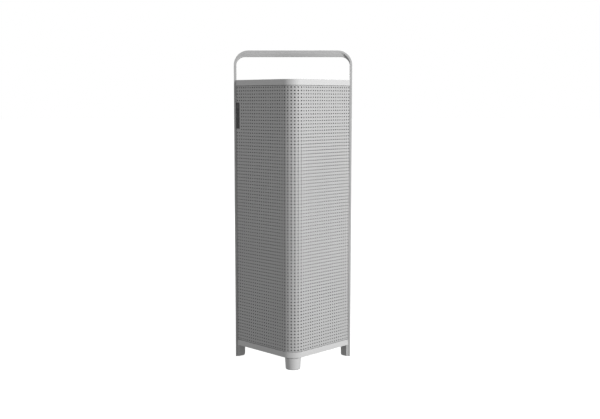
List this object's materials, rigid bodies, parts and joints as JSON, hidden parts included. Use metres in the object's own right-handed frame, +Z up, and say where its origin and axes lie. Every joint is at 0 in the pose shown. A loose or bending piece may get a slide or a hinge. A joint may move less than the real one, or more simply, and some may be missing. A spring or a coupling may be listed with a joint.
{
  "type": "air purifier",
  "caption": "Free-standing corner air purifier: flat-bar arch with carry handle, perforated wrap-round body, round filter behind a hinged rear door, and a top outlet.",
  "frame": {"origin": "on the floor, at the middle of the footprint", "axes": "+Z up; the rounded front corner faces -Y and the legs and rear door are at +Y; +X is to the right seen from the front corner"},
  "size_m": [0.295, 0.1544, 0.78],
  "materials": {
    "bar_paint": "fine satin powder coat, light grey",
    "sheet_paint": "satin powder coat on perforated and plain sheet",
    "dark_plastic": "fine moulded texture",
    "soft_black": "matte",
    "dark_mesh": "woven mesh",
    "foam": "open-cell foam",
    "paper": "pleated filter paper",
    "white_plastic": "moulded",
    "steel": "plated",
    "copper": "enamelled copper winding",
    "board": "solder-mask green",
    "lens": "frosted"
  },
  "bodies": {
    "root": {"frame_arch": "bar_paint", "handle_grip": "bar_paint", "frame_screws": "steel", "top_plate": "bar_paint", "outlet_grille": "dark_plastic", "base_plate": "bar_paint", "tie_rods": "steel", "perforated_shroud": "sheet_paint", "prefilter_screen": "dark_mesh", "shadow_gasket_top": "soft_black", "shadow_gasket_bottom": "soft_black", "back_frame": "sheet_paint", "hinge_pins": "steel", "door_magnets": "steel", "front_foot": "bar_paint", "front_sole": "soft_black", "rear_foot_left": "bar_paint", "rear_foot_right": "bar_paint", "rear_soles": "soft_black", "foot_screws": "steel", "filter_deck": "dark_plastic", "filter_cap_bottom": "dark_plastic", "hepa_media": "paper", "carbon_sleeve": "dark_mesh", "filter_core": "white_plastic", "filter_cap_top": "dark_plastic", "filter_gasket": "soft_black", "fan_deck": "dark_plastic", "inlet_bellmouth": "dark_plastic", "fan_housing": "dark_plastic", "motor_spider": "dark_plastic", "motor_grommets": "soft_black", "motor_can": "steel", "motor_stator": "copper", "motor_bearings": "steel", "outlet_duct": "dark_plastic", "acoustic_liner": "foam", "control_bezel": "dark_plastic", "indicator_lens": "lens", "control_board": "board", "button_switches": "steel", "power_inlet": "dark_plastic", "inlet_pins": "steel", "power_board": "board", "power_transformer": "copper", "power_capacitors": "dark_plastic", "board_standoffs": "steel", "air_sensor": "sheet_paint", "sensor_grille": "dark_plastic", "cable_duct": "dark_plastic"},
    "impeller": {"impeller": "white_plastic", "motor_shaft": "steel", "motor_rotor": "dark_plastic"},
    "door": {"rear_door": "sheet_paint", "door_seal": "soft_black", "door_strikes": "steel", "door_pull": "dark_plastic"},
    "button_power": {"button_power": "dark_plastic"},
    "button_up": {"button_up": "dark_plastic"},
    "button_down": {"button_down": "dark_plastic"}
  },
  "joints": [
    {"name": "impeller_spin", "type": "hinge", "parent": "root", "child": "impeller", "pos_m": [0, 0.001, 0.5], "axis": [0, 0, 1], "continuous": true},
    {"name": "door_swing", "type": "hinge", "parent": "root", "child": "door", "pos_m": [-0.092, 0.07141, 0.268], "axis": [0, 0, 1], "range_deg": [0, 110]},
    {"name": "button_power_press", "type": "slide", "parent": "root", "child": "button_power", "axis": [0.7071, 0.7071, 0], "range_m": [0, 0.001], "stiffness_N_per_m": 150},
    {"name": "button_up_press", "type": "slide", "parent": "root", "child": "button_up", "axis": [0.7071, 0.7071, 0], "range_m": [0, 0.001], "stiffness_N_per_m": 150},
    {"name": "button_down_press", "type": "slide", "parent": "root", "child": "button_down", "axis": [0.7071, 0.7071, 0], "range_m": [0, 0.001], "stiffness_N_per_m": 150}
  ]
}
